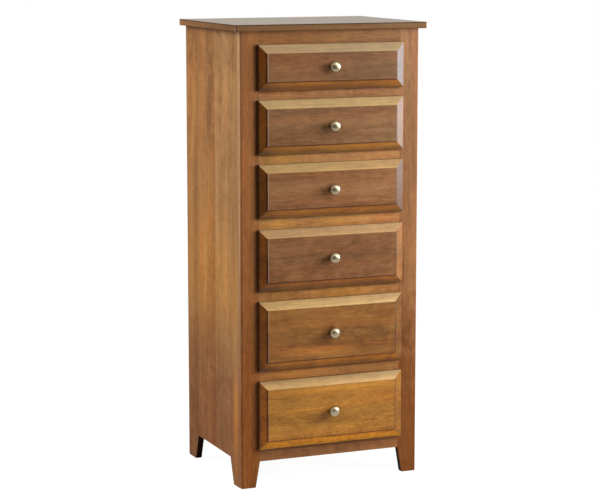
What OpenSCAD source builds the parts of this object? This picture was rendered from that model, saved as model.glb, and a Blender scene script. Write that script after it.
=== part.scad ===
// Tall narrow chest of six drawers, in millimetres.
// The origin is on the floor, under the middle of the whole chest.
// X runs to the right, Y to the back and Z up, so the drawers open towards -Y.

/* [Case] */
// Width across the two side panels
case_w = 572; // [520:1:640]
// Depth from the front of the face frame to the back edge of the side panels
case_d = 457; // [400:1:520]
// Thickness of the side panels
side_t = 19; // [16:0.5:22]
// Thickness of the plywood back
back_t = 6.5; // [4:0.5:9]
// Width of the rabbet in each side panel that holds the back
back_rabbet = 9.5; // [6:0.5:12]
// Thickness of the two rails in front of the back
back_rail_t = 19; // [12:0.5:22]
// Height of the two rails in front of the back
back_rail_h = 64; // [40:1:80]

/* [Face frame] */
// Thickness of the stiles and rails
frame_t = 19; // [16:0.5:24]
// Width of each stile above its foot
stile_w = 60; // [54:0.5:68]
// Height of the top rail
top_rail_h = 45.5; // [38:0.5:60]
// Height of the bottom rail
bottom_rail_h = 44; // [36:0.5:60]
// Height of the rail under the first drawer
rail_1_h = 40; // [34:0.5:52]
// Height of the rail under the second drawer
rail_2_h = 41.5; // [34:0.5:52]
// Height of the rail under the third drawer
rail_3_h = 46; // [34:0.5:52]
// Height of the rail under the fourth drawer
rail_4_h = 44; // [34:0.5:52]
// Height of the rail under the fifth drawer
rail_5_h = 44.5; // [34:0.5:52]
// Length of the tenon at each end of a rail
tenon_l = 16; // [10:0.5:25]
// Thickness of each tenon
tenon_t = 6.5; // [5:0.5:9]
// Shoulder above and below each tenon
tenon_shoulder = 6; // [4:0.5:10]
// Radius of the upright outer corners of the stiles and the top
corner_r = 3; // [1:0.5:5]

/* [Feet] */
// Height of the arches between the feet
arch_h = 79; // [50:1:110]
// Width of a stile's foot at the floor
stile_foot_w = 47; // [34:0.5:54]
// Depth of each side foot at the floor, the stile included
side_foot_floor = 62; // [45:1:75]
// Depth of each side foot at the top of the arch, the stile included
side_foot_top = 89; // [76:1:110]

/* [Top] */
// Thickness of the top
top_t = 19; // [16:0.5:30]
// How far the top stands out in front of the face frame
top_front = 16.5; // [5:0.5:19]
// How far the top stands out past each side panel
top_side = 19; // [5:0.5:35]
// How far the top stands out behind the side panels
top_back = 6.5; // [0:0.5:15]
// Leg length of the corner blocks under the top
block_leg = 72; // [60:1:90]
// Thickness of the corner blocks
block_t = 19; // [15:0.5:22]
// Diameter of the screws that hold the top
screw_d = 4; // [3:0.25:5]
// Head diameter of the screws that hold the top
screw_head_d = 9; // [7.5:0.25:11]
// How far each screw goes into the top
screw_bite = 12; // [8:0.5:14]

/* [Drawer faces] */
// Height of the first drawer's face
face_1_h = 133.5; // [124:0.5:150]
// Height of the second drawer's face
face_2_h = 159; // [140:0.5:180]
// Height of the third drawer's face
face_3_h = 158.5; // [140:0.5:180]
// Height of the fourth drawer's face
face_4_h = 182.5; // [160:0.5:200]
// Height of the fifth drawer's face
face_5_h = 207; // [180:0.5:230]
// Height of the sixth drawer's face
face_6_h = 206; // [180:0.5:230]
// How far a face laps over the frame on every side
overlay = 6.5; // [4:0.5:9]
// Thickness at the middle of a face
face_t = 19.5; // [18:0.5:24]
// Thickness left at the edges of a face
face_edge_t = 8.5; // [6:0.5:11]
// Width of the bevel round a face
bevel_w = 25.5; // [15:0.5:32]
// Height of the small step between the bevel and the flat field
field_step = 1.6; // [0.4:0.1:2.5]

/* [Drawer boxes] */
// Space between the boxes and the rails in front of the back
space_behind = 25.5; // [10:0.5:60]
// Thickness of the sides of a box
box_side_t = 12.7; // [10:0.1:16]
// Thickness of the front and back boards of a box
box_end_t = 12.7; // [10:0.1:16]
// Thickness of the bottom of a box
bottom_t = 6.5; // [4:0.5:9]
// Depth of the groove that holds the bottom
groove_d = 6; // [4:0.5:8]
// Height of the bottom above the lower edge of the box
bottom_up = 11; // [10.5:0.5:14]
// Space between a box and the rail above it
space_above = 19; // [12:0.5:24]
// Space between a box and the rail below it
space_below = 10; // [6:0.5:14]
// Height of box that is given one dovetail
tail_pitch = 38; // [30:1:50]
// Width of the pins between two dovetails, at their widest
pin_w = 14; // [10:0.5:18]
// Width of the half pins at the upper and lower edges of a box, at their widest
half_pin_w = 8.5; // [7:0.5:10]
// How much a dovetail widens on each edge over its length
tail_flare = 1.8; // [1:0.1:2.4]

/* [Drawer slides] */
// Thickness of a closed slide
slide_t = 12.7; // [12.2:0.1:14]
// Height of the cabinet member of a slide
slide_h = 45.5; // [42:0.5:50]
// Distance from each end of a slide to the end of its box
slide_inset = 3; // [1:0.5:10]
// Thickness of the steel
steel_t = 1.2; // [1:0.1:1.5]
// Height of a slide's middle line above the lower edge of its box
slide_up = 40; // [34:0.5:46]

/* [Knobs] */
// Diameter of a knob
knob_d = 31.5; // [26:0.5:38]
// How far a knob stands out of the face
knob_out = 28; // [22:0.5:34]
// Diameter of a knob's foot
knob_foot_d = 15; // [12:0.5:20]
// Diameter of a knob's neck
knob_neck_d = 10.5; // [8:0.5:11.5]
// Thickness of a knob's round cap
knob_cap_h = 12; // [9:0.5:15]
// Diameter of a knob's machine screw
bolt_d = 4; // [3:0.25:5]

/* [Clearances] */
// Gap between a closed face and the face frame
face_gap = 0.4; // [0.3:0.1:0.8]
// Gap between slide members that run past each other
slide_gap = 0.4; // [0.3:0.1:0.6]
// Gap round a screw or bolt in its hole
screw_gap = 0.25; // [0.1:0.05:0.5]

/* [Hidden] */
$fn = 48;

face_h = [face_1_h, face_2_h, face_3_h, face_4_h, face_5_h, face_6_h];
rail_h = [rail_1_h, rail_2_h, rail_3_h, rail_4_h, rail_5_h];
drawers = len(face_h);

// Openings in the face frame, and the boxes that run through them
opening_w = case_w - 2 * stile_w;
function opening_h(i) = face_h[i - 1] - 2 * overlay;
function opening_z(i) = i == drawers
    ? arch_h + bottom_rail_h
    : opening_z(i + 1) + opening_h(i + 1) + rail_h[i - 1];
function box_z(i) = opening_z(i) + space_below;
function box_h(i) = opening_h(i) - space_above - space_below;
function slide_z(i) = box_z(i) + slide_up;
function face_mid_z(i) = opening_z(i) + opening_h(i) / 2;
function tail_count(i) = max(2, round(box_h(i) / tail_pitch));
case_h = opening_z(1) + opening_h(1) + top_rail_h;
box_w = opening_w - 2 * slide_t;
inner_w = case_w - 2 * side_t;
back_y = case_d - back_t;
back_rail_y = back_y - back_rail_t;
box_d = back_rail_y - space_behind;
slide_l = box_d - 2 * slide_inset;

// The frame's front is placed so that the knobs and the top's back edge lie equally far from the origin
knob_front = face_gap + face_t + knob_out;
front_y = (max(knob_front, top_front) - case_d - top_back) / 2;

// Slide members sit one inside the other, each a channel that is smaller by the steel and a gap
member_step = steel_t + slide_gap;
slide_front = slide_inset - face_gap;

// Small details
eps = 0.01;
foot_ease = 2;
bolt_bite = 9;
bolt_head_d = 8.5;
bolt_head_h = 2.4;
screw_head_h = 3;
block_tip = 12;
screw_in = 24;
knob_foot_h = 2.2;
foot_lip = 0.6;
neck_lap = 1;
dome_share = 0.76;
cap_under_from = -48;
rim_round = 6;
arc_steps = 8;

wood = [0.60, 0.37, 0.20];
wood_dark = [0.50, 0.29, 0.15];
box_wood = [0.86, 0.74, 0.54];
ply = [0.80, 0.66, 0.45];
steel = [0.75, 0.76, 0.78];
brass = [0.80, 0.73, 0.58];

// Puts a shape that is drawn with the frame's front at y = 0 in its place
module placed() {
    translate([0, front_y, 0]) children();
}

// Draws a child at both sides, mirrored about the middle of the chest
module both_sides() {
    children();
    mirror([1, 0, 0]) children();
}

// A box from one corner to the opposite one
module block(from, to) {
    translate(from) cube(to - from);
}

// An outline in Y and Z, made solid from x = from to x = to
module across(from, to) {
    translate([from, 0, 0]) rotate([90, 0, 90]) linear_extrude(to - from) children();
}

// An outline in X and Z, made solid from y = from to y = to
module through(from, to) {
    translate([0, to, 0]) rotate([90, 0, 0]) linear_extrude(to - from) children();
}

// What rounding takes off the upright corner at the origin of a solid that fills x > 0 and y > 0
module corner_waste(h) {
    difference() {
        block([-eps, -eps, -eps], [corner_r, corner_r, h + eps]);
        translate([corner_r, corner_r, -2 * eps]) cylinder(r = corner_r, h = h + 4 * eps);
    }
}

module top() {
    left = -case_w / 2 - top_side;
    color(wood) placed() difference() {
        block([left, -top_front, case_h], [-left, case_d + top_back, case_h + top_t]);
        both_sides() {
            translate([left, -top_front, case_h]) corner_waste(top_t);
            translate([left, case_d + top_back, case_h]) mirror([0, 1, 0]) corner_waste(top_t);
        }
        at_top_screws() cylinder(d = screw_d + 2 * screw_gap, h = block_t + screw_bite + screw_gap);
    }
}

// Side panel on the left: its front edge is glued to the back of the stile
module side_panel() {
    placed() difference() {
        across(-case_w / 2, -case_w / 2 + side_t) polygon([
            [frame_t, 0],
            [side_foot_floor - foot_ease, 0],
            [side_foot_floor, foot_ease],
            [side_foot_top, arch_h],
            [case_d - side_foot_top, arch_h],
            [case_d - side_foot_floor, foot_ease],
            [case_d - side_foot_floor + foot_ease, 0],
            [case_d - foot_ease, 0],
            [case_d, foot_ease],
            [case_d, case_h],
            [frame_t, case_h]
        ]);
        block(
            [-case_w / 2 + side_t - back_rabbet, back_y, arch_h],
            [-case_w / 2 + side_t + eps, case_d + eps, case_h + eps]
        );
    }
}

module left_side() {
    color(wood) side_panel();
}

module right_side() {
    color(wood) mirror([1, 0, 0]) side_panel();
}

// One tenon of the rail between two heights, at the left end of the opening
module tenon(low, high) {
    block(
        [-opening_w / 2 - tenon_l, (frame_t - tenon_t) / 2, low + tenon_shoulder],
        [-opening_w / 2 + eps, (frame_t + tenon_t) / 2, high - tenon_shoulder]
    );
}

// A rail of the face frame with a tenon at each end
module rail(low, high) {
    color(wood) placed() union() {
        block([-opening_w / 2, 0, low], [opening_w / 2, frame_t, high]);
        both_sides() tenon(low, high);
    }
}

module top_rail() {
    rail(case_h - top_rail_h, case_h);
}

module bottom_rail() {
    rail(arch_h, arch_h + bottom_rail_h);
}

// The rail under drawer i
module divider(i) {
    rail(opening_z(i) - rail_h[i - 1], opening_z(i));
}

// Stile on the left, with a foot that narrows towards the floor
module stile() {
    outer = -case_w / 2;
    placed() difference() {
        through(0, frame_t) polygon([
            [outer, foot_ease],
            [outer + foot_ease, 0],
            [outer + stile_foot_w - foot_ease, 0],
            [outer + stile_foot_w, foot_ease],
            [outer + stile_w, arch_h],
            [outer + stile_w, case_h],
            [outer, case_h]
        ]);
        translate([outer, 0, 0]) corner_waste(case_h);
        tenon(case_h - top_rail_h, case_h);
        tenon(arch_h, arch_h + bottom_rail_h);
        for (i = [1:drawers - 1]) tenon(opening_z(i) - rail_h[i - 1], opening_z(i));
    }
}

module left_stile() {
    color(wood_dark) stile();
}

module right_stile() {
    color(wood_dark) mirror([1, 0, 0]) stile();
}

module back_panel() {
    half = inner_w / 2 + back_rabbet;
    color(ply) placed() block([-half, back_y, arch_h], [half, case_d, case_h]);
}

// Rails between the side panels that stiffen the back at its top and bottom
module back_rails() {
    color(wood) placed() for (low = [arch_h, case_h - back_rail_h]) block(
        [-inner_w / 2, back_rail_y, low],
        [inner_w / 2, back_y, low + back_rail_h]
    );
}

// Strips on the side panels that bring the slides out to the edge of the opening
module slide_cleats() {
    color(box_wood) placed() both_sides() for (i = [1:drawers]) block(
        [-inner_w / 2, frame_t, slide_z(i) - slide_h / 2],
        [-opening_w / 2, back_rail_y, slide_z(i) + slide_h / 2]
    );
}

// A steel channel on the left side of drawer i, with its back at x = back and its lips at x = lips
module channel(i, back, lips, half_h) {
    thick = lips > back ? steel_t : -steel_t;
    mid = slide_z(i);
    ends = [slide_front, slide_front + slide_l];
    through(ends[0], ends[1]) polygon([
        [back, mid - half_h],
        [lips, mid - half_h],
        [lips, mid - half_h + steel_t],
        [back + thick, mid - half_h + steel_t],
        [back + thick, mid + half_h - steel_t],
        [lips, mid + half_h - steel_t],
        [lips, mid + half_h],
        [back, mid + half_h]
    ]);
}

// Members screwed to the cleats
module cabinet_slides() {
    from = -opening_w / 2;
    color(steel) placed() both_sides() for (i = [1:drawers])
        channel(i, from, from + slide_t - member_step, slide_h / 2);
}

// Members that run between the cabinet's and the drawer's, one on each side of drawer i
module middle_slides(i) {
    from = -opening_w / 2;
    color(steel) placed() both_sides()
        channel(i, from + member_step, from + slide_t - member_step, slide_h / 2 - member_step);
}

// Members screwed to the sides of box i
module runners(i) {
    from = -opening_w / 2;
    color(steel) placed() both_sides()
        channel(i, from + slide_t, from + 2 * member_step, slide_h / 2 - 2 * member_step);
}

// Puts its children at the screw in each of the four corner blocks
module at_top_screws() {
    for (side = [-1, 1]) for (y = [frame_t + screw_in, back_rail_y - screw_in])
        translate([side * (inner_w / 2 - screw_in), y, case_h - block_t]) children();
}

// Three-cornered block at the front left, under the top
module corner_block(y, way) {
    x = -inner_w / 2;
    translate([0, 0, case_h - block_t]) linear_extrude(block_t) polygon([
        [x, y],
        [x + block_leg, y],
        [x + block_leg, y + way * block_tip],
        [x + block_tip, y + way * block_leg],
        [x, y + way * block_leg]
    ]);
}

module corner_blocks() {
    color(box_wood) placed() difference() {
        both_sides() {
            corner_block(frame_t, 1);
            corner_block(back_rail_y, -1);
        }
        at_top_screws() {
            translate([0, 0, -eps]) cylinder(d = screw_d + 2 * screw_gap, h = block_t + 2 * eps);
            translate([0, 0, -eps])
                cylinder(d = screw_head_d + 2 * screw_gap, h = screw_head_h + eps);
        }
    }
}

module top_screws() {
    color(steel) placed() at_top_screws() union() {
        cylinder(d = screw_head_d, h = screw_head_h);
        cylinder(d = screw_d, h = block_t + screw_bite);
    }
}

// Side view of a raised face of the given length: thin edges, bevels, a small step and the flat field
module raised_outline(length) {
    half = length / 2;
    polygon([
        [-half, 0],
        [half, 0],
        [half, face_edge_t],
        [half - bevel_w, face_t - field_step],
        [half - bevel_w, face_t],
        [bevel_w - half, face_t],
        [bevel_w - half, face_t - field_step],
        [-half, face_edge_t]
    ]);
}

// Hole or bolt of the knob of drawer i, along Y from y = from to y = to
module knob_bore(i, d, from, to) {
    translate([0, to, face_mid_z(i)]) rotate([90, 0, 0]) cylinder(d = d, h = to - from);
}

// The raised face: two crossed outlines give the mitred corners of the bevels
module drawer_face(i) {
    width = opening_w + 2 * overlay;
    color(wood) placed() difference() {
        translate([0, -face_gap, face_mid_z(i)]) intersection() {
            translate([0, 0, -face_h[i - 1] / 2]) linear_extrude(face_h[i - 1])
                mirror([0, 1]) raised_outline(width);
            rotate([0, -90, 0]) translate([0, 0, -width / 2]) linear_extrude(width)
                mirror([0, 1]) raised_outline(face_h[i - 1]);
        }
        knob_bore(i, bolt_d + 2 * screw_gap, -face_gap - face_t - eps, -face_gap + eps);
    }
}

// The bottom panel of box i, which also cuts the groove that holds it
module bottom_space(i) {
    low = box_z(i) + bottom_up;
    half = box_w / 2 - box_side_t + groove_d;
    block(
        [-half, box_end_t - groove_d - face_gap, low],
        [half, box_d - box_end_t + groove_d - face_gap, low + bottom_t]
    );
}

// Dovetails of the left side board of box i, which point to y = tip from y = root.
// The lowest one holds the groove for the bottom, which the half pin below it leaves whole.
module tails(i, root, tip) {
    count = tail_count(i);
    narrow = (box_h(i) - 2 * half_pin_w - (count - 1) * pin_w) / count;
    across(-box_w / 2, -box_w / 2 + box_side_t)
        for (k = [0:count - 1]) translate([0, box_z(i) + half_pin_w + k * (narrow + pin_w)]) polygon([
            [root, 0],
            [tip, -tail_flare],
            [tip, narrow + tail_flare],
            [root, narrow]
        ]);
}

// Both rows of dovetails of the left side board of box i
module tail_rows(i) {
    front = -face_gap;
    back = box_d - face_gap;
    tails(i, front + box_end_t, front);
    tails(i, back - box_end_t, back);
}

module box_sides(i) {
    color(box_wood) placed() difference() {
        both_sides() {
            block(
                [-box_w / 2, box_end_t - face_gap, box_z(i)],
                [-box_w / 2 + box_side_t, box_d - box_end_t - face_gap, box_z(i) + box_h(i)]
            );
            tail_rows(i);
        }
        bottom_space(i);
    }
}

module box_ends(i) {
    color(box_wood) placed() difference() {
        for (y = [-face_gap, box_d - box_end_t - face_gap]) block(
            [-box_w / 2, y, box_z(i)],
            [box_w / 2, y + box_end_t, box_z(i) + box_h(i)]
        );
        both_sides() tail_rows(i);
        bottom_space(i);
        knob_bore(i, bolt_d + 2 * screw_gap, -face_gap - eps, box_end_t - face_gap + eps);
    }
}

module box_bottom(i) {
    color(ply) placed() bottom_space(i);
}

// Points on an ellipse about [cx, cy], from one angle to another
function arc(cx, cy, rx, ry, from, to) = [
    for (k = [0:arc_steps])
        let (a = from + (to - from) * k / arc_steps) [cx + rx * cos(a), cy + ry * sin(a)]
];

// Half of a knob's section, with its foot at height 0: a domed cap on a waisted neck
rim_z = knob_out - dome_share * knob_cap_h;
neck_top = knob_out - knob_cap_h + neck_lap;
neck_mid = (knob_foot_h + neck_top) / 2;
waist_r = (knob_foot_d - knob_neck_d) / 2 - foot_lip;
knob_section = concat(
    [[0, 0], [knob_foot_d / 2, 0], [knob_foot_d / 2, knob_foot_h]],
    arc(knob_neck_d / 2 + waist_r, neck_mid, waist_r, neck_top - neck_mid, 270, 90),
    arc(0, rim_z, knob_d / 2, rim_z - neck_top, cap_under_from, -rim_round),
    arc(0, rim_z, knob_d / 2, knob_out - rim_z, rim_round, 90)
);

// The knob and the machine screw that holds it from inside the box
module knob(i) {
    inner = box_end_t - face_gap;
    color(brass) placed() {
        difference() {
            translate([0, -face_gap - face_t, face_mid_z(i)]) rotate([90, 0, 0])
                rotate_extrude() polygon(knob_section);
            knob_bore(i, bolt_d + 2 * screw_gap, -face_gap - face_t - bolt_bite - screw_gap, 0);
        }
        union() {
            knob_bore(i, bolt_d, -face_gap - face_t - bolt_bite, inner + bolt_head_h / 2);
            knob_bore(i, bolt_head_d, inner, inner + bolt_head_h);
        }
    }
}

top();
left_side();
right_side();
left_stile();
right_stile();
top_rail();
bottom_rail();
back_panel();
back_rails();
slide_cleats();
cabinet_slides();
corner_blocks();
top_screws();
for (i = [1:drawers - 1]) {
    divider(i);
}
for (i = [1:drawers]) {
    drawer_face(i);
    box_sides(i);
    box_ends(i);
    box_bottom(i);
    runners(i);
    knob(i);
    middle_slides(i);
}
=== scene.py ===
"""Tall narrow chest of six drawers: looks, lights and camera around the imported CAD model."""

import math
import random
from functools import cached_property, partial

import bmesh
import bpy
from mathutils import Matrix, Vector


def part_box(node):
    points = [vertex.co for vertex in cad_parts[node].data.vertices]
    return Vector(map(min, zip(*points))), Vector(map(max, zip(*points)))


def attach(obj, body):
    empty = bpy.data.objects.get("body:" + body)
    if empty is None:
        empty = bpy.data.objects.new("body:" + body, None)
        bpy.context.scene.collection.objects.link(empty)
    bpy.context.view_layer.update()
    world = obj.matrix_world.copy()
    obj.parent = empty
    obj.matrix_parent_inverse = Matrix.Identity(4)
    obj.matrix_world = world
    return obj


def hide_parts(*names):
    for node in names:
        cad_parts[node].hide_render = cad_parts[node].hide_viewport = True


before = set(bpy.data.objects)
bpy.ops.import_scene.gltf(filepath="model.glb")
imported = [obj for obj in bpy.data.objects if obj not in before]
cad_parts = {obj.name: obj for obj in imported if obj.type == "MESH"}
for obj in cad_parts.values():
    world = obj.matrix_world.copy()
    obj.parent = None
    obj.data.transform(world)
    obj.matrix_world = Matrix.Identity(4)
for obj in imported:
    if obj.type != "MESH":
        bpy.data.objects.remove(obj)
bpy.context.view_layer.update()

MM = 0.001
AXES = {"X": 0, "Y": 1, "Z": 2}
WHITE = (1.0, 1.0, 1.0, 1.0)
# How far the roughness of wood and metal varies
ROUGH_RANGE = 0.10
DRAWERS = range(1, 7)
RAILS = ["top_rail", "rail_1", "rail_2", "rail_3", "rail_4", "rail_5", "bottom_rail"]


# Camera

CAMERA_PLACE = (-2.389, -5.6895, 1.628)
CAMERA_YAW = math.radians(22.691)
CAMERA_PITCH = math.radians(8.803)
CAMERA_LENS, CAMERA_SENSOR = 122.25, 36.0
CAMERA_REACH = 60.0


def make_camera():
    """The photograph's view: a long lens, a little above the chest and to its left."""
    data = bpy.data.cameras.new("camera")
    data.lens = CAMERA_LENS
    data.sensor_width = CAMERA_SENSOR
    data.clip_end = CAMERA_REACH
    camera = bpy.data.objects.new("camera", data)
    camera.location = CAMERA_PLACE
    camera.rotation_euler = (math.pi / 2 - CAMERA_PITCH, 0.0, -CAMERA_YAW)
    bpy.context.scene.collection.objects.link(camera)
    bpy.context.scene.camera = camera


# Node graphs

def linear(red, green, blue):
    """A display colour from 0 to 255 a channel, as the linear colour that sockets take."""
    def one(value):
        value /= 255.0
        return value / 12.92 if value <= 0.04045 else ((value + 0.055) / 1.055) ** 2.4
    return (one(red), one(green), one(blue), 1.0)


def scaled(tone, factors):
    """A colour from 0 to 255 a channel as a linear one, each channel times its factor."""
    return tuple(c * f for c, f in zip(linear(*tone), factors)) + (1.0,)


def ratio(tone, base):
    """The tint that turns one colour from 0 to 255 a channel, the base, into another."""
    return tuple(a / b for a, b in zip(linear(*tone)[:3], linear(*base)[:3]))


def grey(value):
    return (value, value, value, 1.0)


class Graph:
    """Adds nodes to a node tree and links them. Values are sockets, numbers or colours."""

    def __init__(self, tree):
        self.tree = tree

    def put(self, socket, value):
        if isinstance(value, bpy.types.NodeSocket):
            self.tree.links.new(value, socket)
        else:
            socket.default_value = value

    def add(self, kind, *inputs, **settings):
        node = self.tree.nodes.new("ShaderNode" + kind)
        for key, value in settings.items():
            setattr(node, key, value)
        for socket, value in zip(node.inputs, inputs):
            self.put(socket, value)
        return node

    def math(self, operation, *inputs):
        return self.add("Math", *inputs, operation=operation).outputs[0]

    def chain(self, operation, first, *others):
        """Several values joined one after another by an operation that takes two."""
        for other in others:
            first = self.math(operation, first, other)
        return first

    def plus(self, *values):
        return self.chain("ADD", *values)

    def times(self, *values):
        return self.chain("MULTIPLY", *values)

    def largest(self, *values):
        return self.chain("MAXIMUM", *values)

    def minus(self, value, other):
        return self.math("SUBTRACT", value, other)

    def apart(self, value, other):
        return self.math("ABSOLUTE", self.minus(value, other))

    def hypotenuse(self, a, b):
        return self.math("SQRT", self.plus(self.times(a, a), self.times(b, b)))

    def vector(self, operation, *inputs):
        return self.add("VectorMath", *inputs, operation=operation).outputs[0]

    def combine(self, x, y, z):
        return self.add("CombineXYZ", x, y, z).outputs[0]

    def noise(self, place, detail=2.0, roughness=0.5, distortion=0.0):
        node = self.add("TexNoise")
        self.put(node.inputs["Vector"], place)
        node.inputs["Scale"].default_value = 1.0
        node.inputs["Detail"].default_value = detail
        node.inputs["Roughness"].default_value = roughness
        node.inputs["Distortion"].default_value = distortion
        return node.outputs[0]

    def spread(self, value, low, high, to_low=0.0, to_high=1.0):
        """The value's place between low and high, held to that range, as one between to_low and to_high."""
        return self.add("MapRange", value, low, high, to_low, to_high).outputs[0]

    def mix(self, factor, a, b, blend="MIX"):
        node = self.add("Mix", data_type="RGBA", blend_type=blend)
        self.put(node.inputs[0], factor)
        self.put(node.inputs[6], a)
        self.put(node.inputs[7], b)
        return node.outputs[2]

    def tinted(self, colour, tint):
        """The colour with each channel times that of the tint."""
        return self.mix(1.0, colour, (*tint, 1.0), "MULTIPLY")

    def tint(self, factor, colour, tint):
        """The colour, tinted where the factor is 1 and as it was where the factor is 0."""
        return self.mix(factor, colour, self.tinted(colour, tint))

    def ramp(self, value, stops, interpolation="LINEAR"):
        node = self.add("ValToRGB", value)
        node.color_ramp.interpolation = interpolation
        elements = node.color_ramp.elements
        while len(elements) < len(stops):
            elements.new(0.5)
        for element, (position, colour) in zip(elements, stops):
            element.position = position
            element.color = colour
        return node.outputs[0]


class Material(Graph):
    """The nodes of a new material, around its shader."""

    def __init__(self, name):
        self.material = bpy.data.materials.new(name)
        self.material.use_nodes = True
        super().__init__(self.material.node_tree)
        self.shader = self.tree.nodes["Principled BSDF"]

    def bump(self, height, strength, distance):
        node = self.add("Bump")
        node.inputs["Strength"].default_value = strength
        node.inputs["Distance"].default_value = distance
        self.put(node.inputs["Height"], height)
        self.put(self.shader.inputs["Normal"], node.outputs[0])

    def coat(self, weight, roughness):
        """A layer of gloss over the shader, with a weight that may vary and a plain roughness."""
        self.put(self.shader.inputs["Coat Weight"], weight)
        self.shader.inputs["Coat Roughness"].default_value = roughness

    def surface(self, colour, roughness, **numbers):
        """Sets the colour and roughness, and the plain numbers on the shader's own sockets."""
        self.put(self.shader.inputs["Base Color"], colour)
        self.put(self.shader.inputs["Roughness"], roughness)
        for key, value in numbers.items():
            self.shader.inputs[key].default_value = value
        return self.material


# Colours of the wood

# Middle colour of each board, as it is finished
TONES = {
    "top": (99, 73, 41),
    "left_stile": (146, 93, 49),
    "right_stile": (142, 93, 54),
    "top_rail": (130, 84, 42),
    "rail_1": (147, 99, 56),
    "rail_2": (156, 104, 58),
    "rail_3": (170, 120, 69),
    "rail_4": (160, 108, 58),
    "rail_5": (155, 101, 49),
    "bottom_rail": (146, 93, 48),
    "drawer_1_face": (121, 82, 49),
    "drawer_2_face": (128, 89, 54),
    "drawer_3_face": (136, 92, 55),
    "drawer_4_face": (128, 85, 50),
    "drawer_5_face": (135, 87, 39),
    "drawer_6_face": (166, 111, 41),
}
MAPLE, PLY = (190, 158, 116), (184, 150, 106)
# Tints of a board's middle colour for its darkest and lightest wood, and of its wood where that is coolest
# and warmest
DARKEST, LIGHTEST = (0.58, 0.50, 0.42), (1.38, 1.44, 1.50)
COOLEST, WARMEST = (0.97, 1.04, 1.06), (1.04, 0.95, 0.88)
# The top's edges, by the axis that they face, in painted light and shade with the end grain's own darker
# colour at the ends, and the strength and roughness of the gloss on its upper side
TOP_EDGES = {"Y": (119, 88, 60), "X": (114, 81, 50)}
TOP_COAT, TOP_COAT_ROUGHNESS = 0.54, 0.25
# The same gloss on the stiles
STILE_COAT, STILE_COAT_ROUGHNESS = 0.5, 0.36
# Boards of each side panel: where each starts, from the front to the back, and its colour
SIDE_STRIPS = [(-0.30, (158, 115, 73)), (0.0, (150, 103, 60)), (0.135, (140, 96, 56))]
# Width over which those places are looked up, more than a panel's own
PANEL_SPAN = 0.6
# How the stain and painted light and shade take on the bevels of each drawer's face, by the way each faces.
# "top" is the tone of the top bevel, and "lighten" how much it lightens inwards, a painted highlight.
# "right", "left" and "bottom" are tints of the other bevels against the flat field. "band" is the height in
# millimetres and the strength of the dark band at the bottom, and "rim" the strength of the painted
# highlight line at the field's left
BEVELS = {
    1: {"top": (156, 124, 78), "lighten": 0.05, "right": (0.64, 0.70, 0.69), "left": (1.06, 0.75, 0.23),
        "bottom": (1.50, 1.20, 0.34), "band": (11.5, 0.75), "rim": 0.45},
    2: {"top": (168, 135, 79), "lighten": 0.22, "right": (0.97, 0.88, 0.52), "left": (1.04, 0.75, 0.22),
        "bottom": (1.50, 1.20, 0.33), "band": (11.5, 0.75), "rim": 0.45},
    3: {"top": (161, 124, 67), "lighten": 0.20, "right": (0.55, 0.57, 0.48), "left": (0.64, 0.46, 0.14),
        "bottom": (1.30, 1.05, 0.27), "band": (11.5, 0.75), "rim": 0.40},
    4: {"top": (162, 123, 73), "lighten": 0.26, "right": (1.30, 1.20, 0.71), "left": (1.05, 0.76, 0.23),
        "bottom": (1.20, 0.96, 0.26), "band": (11.5, 0.75), "rim": 0.35},
    5: {"top": (182, 143, 84), "lighten": 0.34, "right": (0.81, 0.73, 0.49), "left": (0.92, 0.67, 0.18),
        "bottom": (1.50, 1.20, 0.33), "band": (11.5, 0.75), "rim": 0.25},
    6: {"top": (174, 134, 78), "lighten": 0.42, "right": (0.74, 0.68, 0.45), "left": (0.88, 0.62, 0.18),
        "bottom": (1.76, 1.54, 0.42), "band": (7.0, 0.14), "rim": 0.10},
}
# Patches that show on single boards: place along and across the grain, reach along and across, and tint
SIDE_PATCHES = [
    (1.15, 0.050, 0.19, 0.048, 0.74, 0.76, 0.82),
    (1.12, 0.175, 0.16, 0.030, 1.12, 1.14, 1.02),
    (0.19, -0.165, 0.17, 0.026, 1.60, 1.45, 0.90),
    (0.85, 0.140, 0.25, 0.022, 1.18, 1.18, 1.18),
    (0.84, 0.045, 0.20, 0.040, 1.26, 1.24, 1.12),
    (1.31, 0.210, 0.05, 0.030, 0.80, 0.80, 0.80),
    # The patches that reach 0.50 across span the whole panel: darker just under the top, lighter at middle
    # height and, last, darker and warmer towards the bottom, the only patch on the right side
    (1.34, 0.02, 0.13, 0.50, 0.82, 0.84, 0.88),
    (0.60, 0.02, 0.20, 0.50, 1.32, 1.28, 1.02),
    (1.334, -0.044, 0.007, 0.007, 0.30, 0.32, 0.40),
    (0.12, 0.02, 0.30, 0.50, 0.91, 0.74, 0.65),
]
# Contrast and patches of each side panel
SIDE_LOOKS = {"left_side": (1.35, SIDE_PATCHES), "right_side": (1.1, SIDE_PATCHES[-1:])}
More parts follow.
